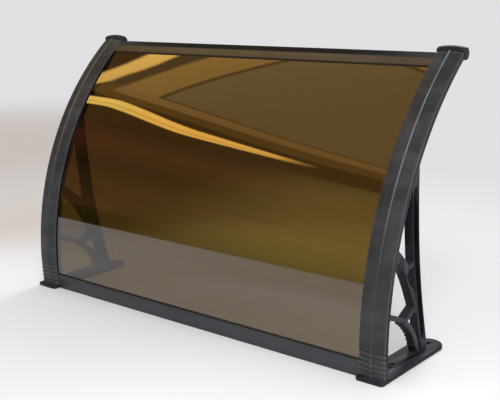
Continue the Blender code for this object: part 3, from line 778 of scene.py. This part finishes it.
def make_screw(name, length):
    """A pan-head screw that points along +z, with its head's face at z = 0."""
    outline = list(HEAD_OUTLINE)
    thread = length - THREAD_SHORTER
    for i in range(THREAD_TURNS):
        z = THREAD_FIRST + thread * i / THREAD_TURNS
        outline += [(SHANK_RADIUS, z), (THREAD_ROOT, z + thread / THREAD_TURNS / 2)]
    outline += [(radius, length + z) for radius, z in TIP_OUTLINE]
    made = loft(name, [circle(radius, z, SCREW_SIDES) for radius, z in outline])
    bm = bmesh.new()
    for wide, deep in ((RECESS_NARROW, RECESS_LONG), (RECESS_LONG, RECESS_NARROW)):
        cutter = bmesh.ops.create_cube(bm, size=1.0)["verts"]
        for v in cutter:
            v.co = Vector((v.co.x * 2 * wide, v.co.y * 2 * deep, v.co.z * RECESS_HEIGHT))
    mesh = bpy.data.meshes.new(name + "_recess")
    bm.to_mesh(mesh)
    bm.free()
    recess = bpy.data.objects.new(name + "_recess", mesh)
    bpy.context.scene.collection.objects.link(recess)
    step = made.modifiers.new("recess", "BOOLEAN")
    step.operation = "DIFFERENCE"
    step.object = recess
    step.use_self = True
    bpy.context.view_layer.update()
    graph = bpy.context.evaluated_depsgraph_get()
    solid = bpy.data.meshes.new_from_object(made.evaluated_get(graph))
    made.modifiers.clear()
    made.data = solid
    bpy.data.objects.remove(recess)
    made.hide_render = True
    made.hide_viewport = True
    print(name, "has", len(solid.polygons), "faces")
    return made


COVER_SCREW_HEAD = 0.0142
COVER_SCREW_END = 0.0025
FIXING_LENGTH = 0.0088
screw_long = make_screw("cover_screw_master", COVER_SCREW_HEAD - COVER_SCREW_END)
screw_short = make_screw("profile_screw_master", FIXING_LENGTH)

# %% [markdown]
# The row's tree makes its own points with a Mesh Line for each side, so the count, the first place
# and the pitch are numbers that can be changed. The mesh that carries the modifier is empty.

# %% Build the tree for a row of screws
ROW_INPUTS = [("Screw", "Object"), ("Count", "Int"), ("Start", "Float"), ("Pitch", "Float")]
ROW_INPUTS += [("Across", "Float"), ("Depth", "Float")] + ARC_INPUTS
row_tree, row_start = new_tree("row_of_screws", ROW_INPUTS)
given = row_start.outputs
original = {"transform_space": "ORIGINAL"}
shape = add(row_tree, "GeometryNodeObjectInfo", original, Object=given["Screw"])
under = sums(row_tree, "MULTIPLY", given["Depth"], -1.0)
both = row_tree.nodes.new("GeometryNodeJoinGeometry")
for side in (-1.0, 1.0):
    across = sums(row_tree, "MULTIPLY", given["Across"], side)
    first = add(row_tree, "ShaderNodeCombineXYZ", None, X=across, Y=given["Start"], Z=under)
    pitch = add(row_tree, "ShaderNodeCombineXYZ", None, Y=given["Pitch"])
    line = add(
        row_tree, "GeometryNodeMeshLine", None, Count=given["Count"],
        Start_Location=first.outputs[0], Offset=pitch.outputs[0],
    )
    placed = add(
        row_tree, "GeometryNodeInstanceOnPoints", None, Points=line.outputs[0],
        Instance=shape.outputs["Geometry"],
    )
    real = add(row_tree, "GeometryNodeRealizeInstances", None, Geometry=placed.outputs[0])
    row_tree.links.new(real.outputs[0], both.inputs[0])
bent(row_tree, both.outputs[0], row_start)
print("nodes in the row's tree:", len(row_tree.nodes))

# %% Place the screws
COVER_SCREWS = 4
COVER_ROW = (0.085, 0.590)
COVER_ROW_OFFSET = 0.0155
FIXING_ROW = (0.018, 0.649)
FIXING_ACROSS = 0.433
FIXING_DEPTH = 0.0163
SIDES = ("left", "right")


def screw_row(name, slot, stands_for, **values):
    """All the screws of one kind as one piece, in the place of their solids."""
    mesh = bpy.data.meshes.new(name)
    made = bpy.data.objects.new(name, mesh)
    bpy.context.scene.collection.objects.link(made)
    run_tree(made, row_tree, "zinc_plate", **values)
    settle(made, slot, *stands_for)


screw_row(
    "cover_screws", "screw_steel",
    [f"cover_screw_{side}_{i + 1}" for side in SIDES for i in range(COVER_SCREWS)],
    Screw=screw_long, Count=COVER_SCREWS, Start=COVER_ROW[0],
    Pitch=(COVER_ROW[1] - COVER_ROW[0]) / (COVER_SCREWS - 1),
    Across=ARM_X + COVER_ROW_OFFSET, Depth=COVER_SCREW_HEAD,
)
screw_row(
    "profile_screws", "fixing_steel",
    [f"{end}_screw_{side}" for end in ("wall", "front") for side in SIDES],
    Screw=screw_short, Count=2, Start=FIXING_ROW[0], Pitch=FIXING_ROW[1] - FIXING_ROW[0],
    Across=FIXING_ACROSS, Depth=FIXING_DEPTH,
)
for master in (screw_long, screw_short):
    bpy.data.objects.remove(master)

# %% [markdown]
# ## Floor, backdrop and light
#
# The photograph was taken on a white table that runs out into white. A disc of floor catches the
# shadow near the object and fades into the backdrop's colour further out, so no horizon shows. The
# fade depends only on the distance from the object.

# %% Make the floor's mesh
FLOOR_RADII = (0.4, 0.8, 1.2, 1.8, 2.6, 4.0, 8.0, 20.0)
FLOOR_SIDES = 64
bm = bmesh.new()
rings = [[bm.verts.new(p) for p in circle(radius, 0.0, FLOOR_SIDES)] for radius in FLOOR_RADII]
bm.faces.new(rings[0])
for inner, outer in zip(rings, rings[1:]):
    for k in range(FLOOR_SIDES):
        j = (k + 1) % FLOOR_SIDES
        bm.faces.new((inner[k], outer[k], outer[j], inner[j]))
floor_mesh = bpy.data.meshes.new("pale_table")
bm.to_mesh(floor_mesh)
bm.free()
table = bpy.data.objects.new("pale_table", floor_mesh)
bpy.context.scene.collection.objects.link(table)
print("faces of the floor:", len(floor_mesh.polygons))

# %% [markdown]
# The paper carries painted light and shade. It has painted shade behind the object, a pool of
# painted light in front of it on the right and warm painted shade at the far left, and the
# backdrop has warm painted shade in one place behind the left side. Two kinds of ray see the paper
# otherwise.
# What the object mirrors of it is dimmer at the left, a painted shade in the reflections. What
# shows through the sheet is brighter than white near the object, as an overexposed table is: there
# the paper glows for transmission rays, a painted light.

# %% Make the floor's finish
PALE = (0.75, 0.75, 0.77)
FADE_FROM, FADE_TO = 0.45, 1.9
# Painted shade behind the object, a pool of painted light, warm painted shade on the paper and the
# backdrop, painted shade in reflections and a painted glow seen through the sheet.
PAINTED_SHADE_BEHIND = (0.79, 0.79, 0.795)
PAINTED_LIGHT_POOL = ((0.40, -0.35, 0.0), 0.55, 0.10, (0.98, 0.98, 0.98))
PAINTED_WARM_SHADE = ((-1.25, 0.32, 0.0), 0.80, 0.15, (0.60, 0.50, 0.41))
PAINTED_SHADE_ON_BACKDROP = ((-2.4, 1.1, 0.0), 2.2, 0.3, (0.58, 0.53, 0.50))
PAINTED_SHADE_IN_REFLECTION = (0.55, 0.54, 0.53)
PAINTED_GLOW_THROUGH_SHEET = (0.58, 0.90, 0.90)


def painted_patch(ground, place, centre, edge, core, colour):
    """A round patch of painted light or painted shade, which starts at the edge and is full within
    the core.
    """
    return ground.blend(place.distance(centre).between(edge, core), colour)


made, shader, place = finish_named(
    "pale_table_paper", Roughness=0.85, Specular_IOR_Level=0.2, Emission_Strength=1.0
)
away = place.distance((0.0, 0.0, 0.0))
paper = place.noise(380.0, 3.0).tint((0.86, 0.86, 0.87), (0.90, 0.90, 0.91))
# Painted shade behind the object, a pool of painted light in front and warm painted shade at the
# left.
paper = paper.blend(place.axis("Y").between(0.0, 0.6), PAINTED_SHADE_BEHIND)
paper = painted_patch(paper, place, *PAINTED_LIGHT_POOL)
paper = painted_patch(paper, place, *PAINTED_WARM_SHADE)
# Painted shade in what glossy rays see of the paper at the left.
dim = place.axis("X").between(-0.15, -0.55) * place.ray("Glossy")
paper = paper.blend(dim * 0.5, PAINTED_SHADE_IN_REFLECTION)
# Painted light: near the object the paper glows for transmission rays.
bright = away.between(0.95, 0.60) * place.ray("Transmission")
place.plug(shader.inputs["Base Color"], paper)
place.plug(shader.inputs["Emission Color"], bright.tint(BLACK, PAINTED_GLOW_THROUGH_SHEET))
glow = made.node_tree.nodes.new("ShaderNodeBsdfPrincipled")
glow.inputs["Base Color"].default_value = (*BLACK, 1.0)
glow.inputs["Specular IOR Level"].default_value = 0.0
glow.inputs["Emission Strength"].default_value = 1.0
# Warm painted shade on the backdrop behind the left side.
centre, edge, core, warm = PAINTED_SHADE_ON_BACKDROP
backdrop = place.distance(centre).between(edge, core).tint(PALE, warm)
place.plug(glow.inputs["Emission Color"], backdrop)
end_in_two(made, away.between(FADE_FROM, FADE_TO), shader, glow)
floor_mesh.materials.append(made)
print("floor radius in metres:", FLOOR_RADII[-1])

# %% [markdown]
# The world is a soft even light. What the camera sees of it, directly or through the sheet, is the
# backdrop's pale grey. Glossy surfaces see a dimmer room, and the sheet mirrors its front left: a
# dark brown hall with a lit corner. Three colour ramps over the height paint the hall, its lit
# corner and the rest of the room, and faint level streaks break up the first two.

# %% Make the world
HALL = [
    (0.0, (0.06, 0.06, 0.01)), (0.065, (0.06, 0.06, 0.01)), (0.10, (0.22, 0.11, 0.03)),
    (0.22, (0.18, 0.08, 0.03)), (0.33, (0.06, 0.03, 0.012)), (0.44, (0.22, 0.06, 0.03)),
    (0.51, (0.02, 0.015, 0.01)), (0.80, (0.06, 0.05, 0.03)), (1.0, (0.40, 0.38, 0.35)),
]
LIT_CORNER = [
    (0.0, (0.30, 0.28, 0.08)), (0.06, (0.50, 0.38, 0.08)), (0.14, (0.68, 0.44, 0.11)),
    (0.46, (0.62, 0.42, 0.10)), (0.56, (0.03, 0.03, 0.01)), (1.0, (0.40, 0.38, 0.35)),
]
REST = [(0.0, (0.42, 0.43, 0.45)), (0.45, (0.34, 0.35, 0.37)), (1.0, (0.60, 0.60, 0.60))]
FRONT_LEFT = (-0.87, -0.50, 0.0)
EVEN_LIGHT = (0.70, 0.71, 0.73)
world = bpy.data.worlds.new("soft_room")
bpy.context.scene.world = world
world.use_nodes = True
tree = world.node_tree
tree.nodes.clear()
spot = tree.nodes.new("ShaderNodeTexCoord")
place = Wire(tree, spot.outputs["Generated"])
hall, lit, pale = [
    place.node("ValToRGB", {"stops": stops}, {"Fac": place.axis("Z")})
    for stops in (HALL, LIT_CORNER, REST)
]
corner = (place.axis("X") / place.axis("Y")).between(1.05, 0.72)
streak = place.noise(7.0, 3.0, (1.0, 1.0, 9.0)) * 0.9 + 0.55
wall = hall.blend(corner, lit)
wall = wall.node("VectorMath", {"operation": "SCALE"}, {0: wall, "Scale": streak})
left = place.node("VectorMath", {"operation": "DOT_PRODUCT"}, {0: place, 1: FRONT_LEFT}, "Value")
room = pale.blend(left.between(0.0, 0.45), wall)
shown = place.ray("Glossy").tint(EVEN_LIGHT, room)
shown = shown.blend(place.ray("Camera") + place.ray("Transmission"), PALE)
light = tree.nodes.new("ShaderNodeBackground")
tree.links.new(shown.socket, light.inputs["Color"])
ending = tree.nodes.new("ShaderNodeOutputWorld")
tree.links.new(light.outputs[0], ending.inputs["Surface"])
print("world ready:", world.name)

# %% [markdown]
# The hall where the canopy stood had a warm lit ceiling tray, which the sheet mirrors as golden
# bands. A real ceiling is out of view, so one glowing panel hangs over the floor where the sheet
# mirrors it. Only glossy rays see it: it puts no light on the object.

# %% Hang the ceiling tray
TRAY_HALF = 2.2
TRAY_PLACE = (-0.99, -0.99, 2.6)
TRAY_TURN = radians(-45)
tray_mesh = bpy.data.meshes.new("ceiling_tray")
signs = ((-1, -1), (1, -1), (1, 1), (-1, 1))
corners = [(x * TRAY_HALF, y * TRAY_HALF, 0.0) for x, y in signs]
tray_mesh.from_pydata(corners, [], [(0, 1, 2, 3)])
tray = bpy.data.objects.new("ceiling_tray", tray_mesh)
tray.location = TRAY_PLACE
tray.rotation_euler = (0.0, 0.0, TRAY_TURN)
bpy.context.scene.collection.objects.link(tray)
for kind in ("camera", "diffuse", "transmission", "volume_scatter", "shadow"):
    setattr(tray, "visible_" + kind, False)
print(tray.name, "is", 2 * TRAY_HALF, "m wide")

# %% [markdown]
# The tray's colour is built from soft-edged rectangles, the largest first, and each lies over the
# ones before it: the dark surround, the lit wash, the gap round the middle field, the field, and
# the two bright coves at its side and at its end. `sag` and `droop` slant their edges a little,
# and a darker seam runs along the end cove.

# %% Paint the ceiling tray
DARK = (0.02, 0.012, 0.003)
WASH = (1.12, 0.61, 0.14)
WASH_END = (0.95, 0.48, 0.13)
FIELD = (0.60, 0.42, 0.155)
COVE_SIDE = (3.5, 2.05, 0.44)
FIELD_HALF = (1.10, 0.98)
GAP_HALF = (1.14, 1.02)
WASH_HALF = (1.435, 1.20)
SURROUND_HALF = (1.57, 1.40)
COVE_SIDE_MIDDLE = 1.65
COVE_END_MIDDLE = 1.575


def band(middle, half, soft=0.03):
    """1 where middle lies within half of 0, and 0 outside, with a soft edge. Both may vary."""
    return middle.size().between(half + soft, half - soft)


made, shader, place = finish_named(
    "tray_glow", Base_Color=(*BLACK, 1.0), Specular_IOR_Level=0.0, Emission_Strength=1.0
)
across = place.axis("X")
along = place.axis("Y")
sag = along.between(-0.6, 0.4)
droop = across.between(-1.1, 0.4)
level = along + droop * 0.12
field = band(across, FIELD_HALF[0], 0.02) * band(level, FIELD_HALF[1], 0.02)
gap = band(across, GAP_HALF[0], 0.02) * band(level, GAP_HALF[1], 0.02)
wash = band(across + sag * 0.04, WASH_HALF[0]) * band(level, WASH_HALF[1])
half = SURROUND_HALF[0] + sag * 0.06 + along.between(-1.15, -1.3) * 0.12
surround = band(across, half) * band(along + droop * 0.2, SURROUND_HALF[1])

side_middle = across + COVE_SIDE_MIDDLE + sag * 0.13 + along.between(-0.95, -1.3) * 0.06
side_half = along.between(-0.8, -0.2) * 0.02 + 0.075
cove_side = band(side_middle, side_half) * along.between(-1.42, -1.32)
end_middle = along + COVE_END_MIDDLE + across.between(-1.3, -0.55) * 0.215
end_middle = end_middle + across.between(-1.28, -1.6) * 0.16
end_half = 0.150 - across.between(-0.8, 0.42) * 0.09
cove_end = band(end_middle, end_half) * across.between(0.42, -0.05)
seam = band(end_middle + 0.03, 0.02, 0.05) * 0.35

border = along.between(-1.06, -0.96).tint((0.34, 0.18, 0.035), (0.13, 0.11, 0.045))
end_colour = across.between(-1.3, -0.7).tint((4.8, 3.0, 0.58), (6.1, 3.05, 0.50))
glow = border.blend(1.0 - surround, DARK)
glow = glow.blend(wash, WASH)
glow = glow.blend(wash * along.between(-0.95, -1.10), WASH_END)
glow = glow.blend(gap, border)
glow = glow.blend(field, FIELD)
glow = glow.blend(cove_side, COVE_SIDE)
glow = glow.blend(cove_end - seam * cove_end, end_colour)
place.plug(shader.inputs["Emission Color"], glow)
tray_mesh.materials.append(made)
print("nodes in the tray's finish:", len(made.node_tree.nodes))

# %% [markdown]
# Two large soft lamps model the object: a key from the upper right front, and a weaker one from
# behind on the left that draws the rims of the covers. Their sizes keep every shadow soft. The key
# could stand on the left too, but the sheet mirrors that side, and would show it as a white disc.

# %% Place the lamps
def soft_lamp(name, place, target, size, power, colour):
    """A round lamp that points at a target, with its width in metres and its power in watts."""
    lamp = bpy.data.lights.new(name, "AREA")
    lamp.shape = "DISK"
    lamp.size = size
    lamp.energy = power
    lamp.color = colour
    made = bpy.data.objects.new(name, lamp)
    made.location = place
    made.rotation_euler = (Vector(target) - Vector(place)).to_track_quat("-Z", "Y").to_euler()
    bpy.context.scene.collection.objects.link(made)
    print(name, "gives", power, "W")


soft_lamp(
    "key_lamp", place=(1.9, -2.1, 2.6), target=(0.0, 0.0, 0.2),
    size=1.6, power=62.0, colour=(1.0, 0.99, 0.97),
)
soft_lamp(
    "rim_lamp", place=(-0.6, 2.4, 2.4), target=(0.2, 0.0, 0.3),
    size=1.4, power=30.0, colour=(0.96, 0.98, 1.0),
)
